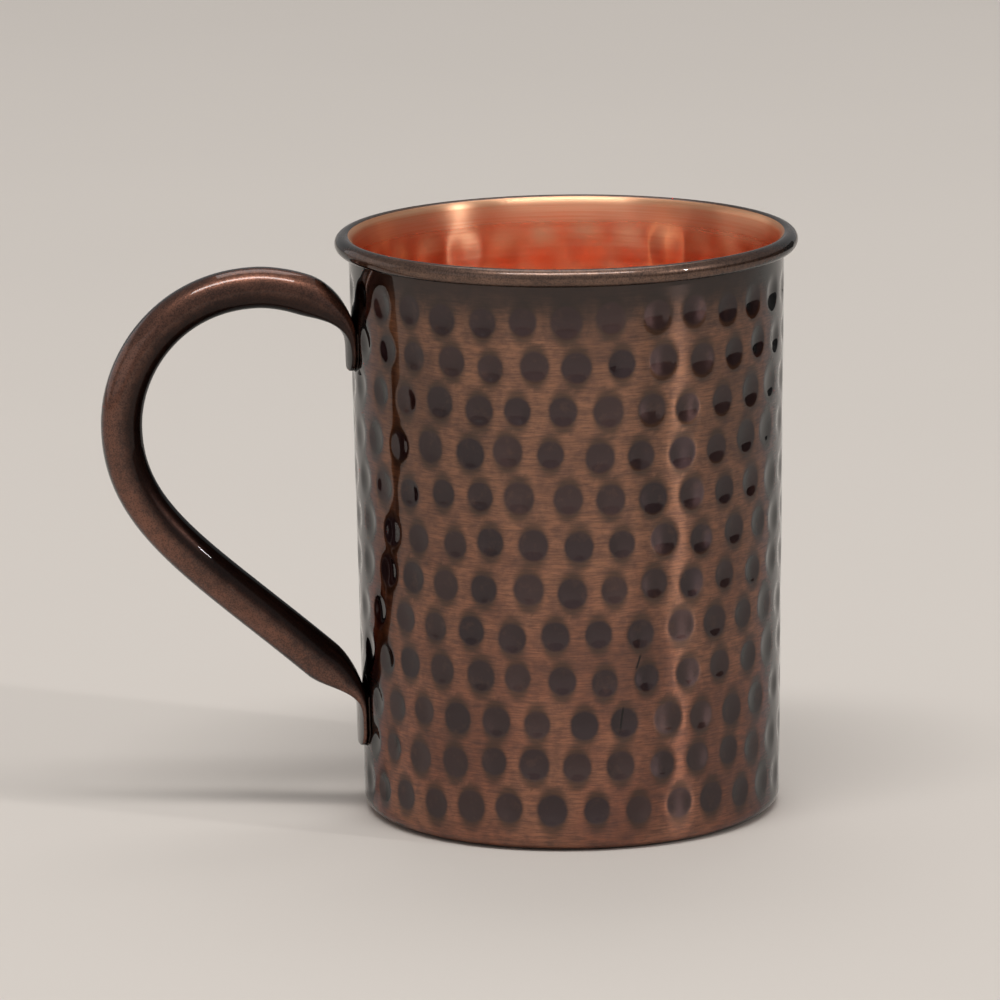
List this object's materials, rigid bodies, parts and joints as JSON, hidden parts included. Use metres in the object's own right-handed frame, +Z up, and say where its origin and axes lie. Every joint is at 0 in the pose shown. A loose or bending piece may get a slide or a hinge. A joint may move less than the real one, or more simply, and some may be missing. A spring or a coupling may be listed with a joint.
{
  "type": "hammered copper mug",
  "caption": "Straight-sided hammered copper mug with a curled lip and a bent tube handle brazed to the wall by its flattened ends.",
  "frame": {"origin": "on the mug's axis, at the surface it stands on", "axes": "+Z up along the mug's axis, handle along -X, +Y to the far side when the handle is on the left"},
  "size_m": [0.1296, 0.0856, 0.1084],
  "materials": {
    "cup_copper": "antiqued copper, lacquered outside, polished inside",
    "handle_copper": "antiqued copper tube, lacquered",
    "braze": "satin braze filler"
  },
  "bodies": {
    "root": {"cup": "cup_copper", "handle_tube": "handle_copper", "upper_braze": "braze", "lower_braze": "braze"}
  },
  "joints": []
}
